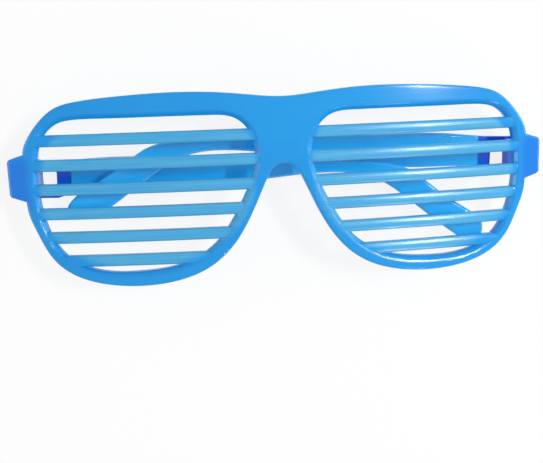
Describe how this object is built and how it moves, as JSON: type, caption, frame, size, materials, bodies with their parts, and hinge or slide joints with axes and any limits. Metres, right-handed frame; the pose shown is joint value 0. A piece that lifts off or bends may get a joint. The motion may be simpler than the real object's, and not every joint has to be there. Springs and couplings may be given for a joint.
{
  "type": "slatted novelty glasses",
  "caption": "Slatted party glasses: a bowed one-piece front with open slats in place of lenses, and two temples that fold flat behind it on hinge pins.",
  "frame": {"origin": "on the surface that the folded glasses lie on, under the middle of the front's width and height", "axes": "+X towards the wearer's left along the brow, +Y towards the brow, +Z out of the front, away from the face"},
  "size_m": [0.1478, 0.052, 0.0176],
  "materials": {
    "front_plastic": "glossy moulded light blue plastic, slightly translucent",
    "temple_plastic": "glossy moulded light blue plastic, slightly translucent",
    "pin_plastic": "glossy light blue plastic, hidden in the hinge"
  },
  "bodies": {
    "front": {"front_frame": "front_plastic"},
    "left_temple": {"left_temple": "temple_plastic", "left_hinge_pin": "pin_plastic"},
    "right_temple": {"right_temple": "temple_plastic", "right_hinge_pin": "pin_plastic"}
  },
  "joints": [
    {"name": "left_fold", "type": "hinge", "parent": "front", "child": "left_temple", "pos_m": [0.0683, 0.0037, 0.0016], "axis": [-0.0384, -0.9993, 0], "range_deg": [0, 93]},
    {"name": "right_fold", "type": "hinge", "parent": "front", "child": "right_temple", "pos_m": [-0.0683, 0.0025, 0.0016], "axis": [0.0384, 0.9993, 0], "range_deg": [0, 93]}
  ]
}
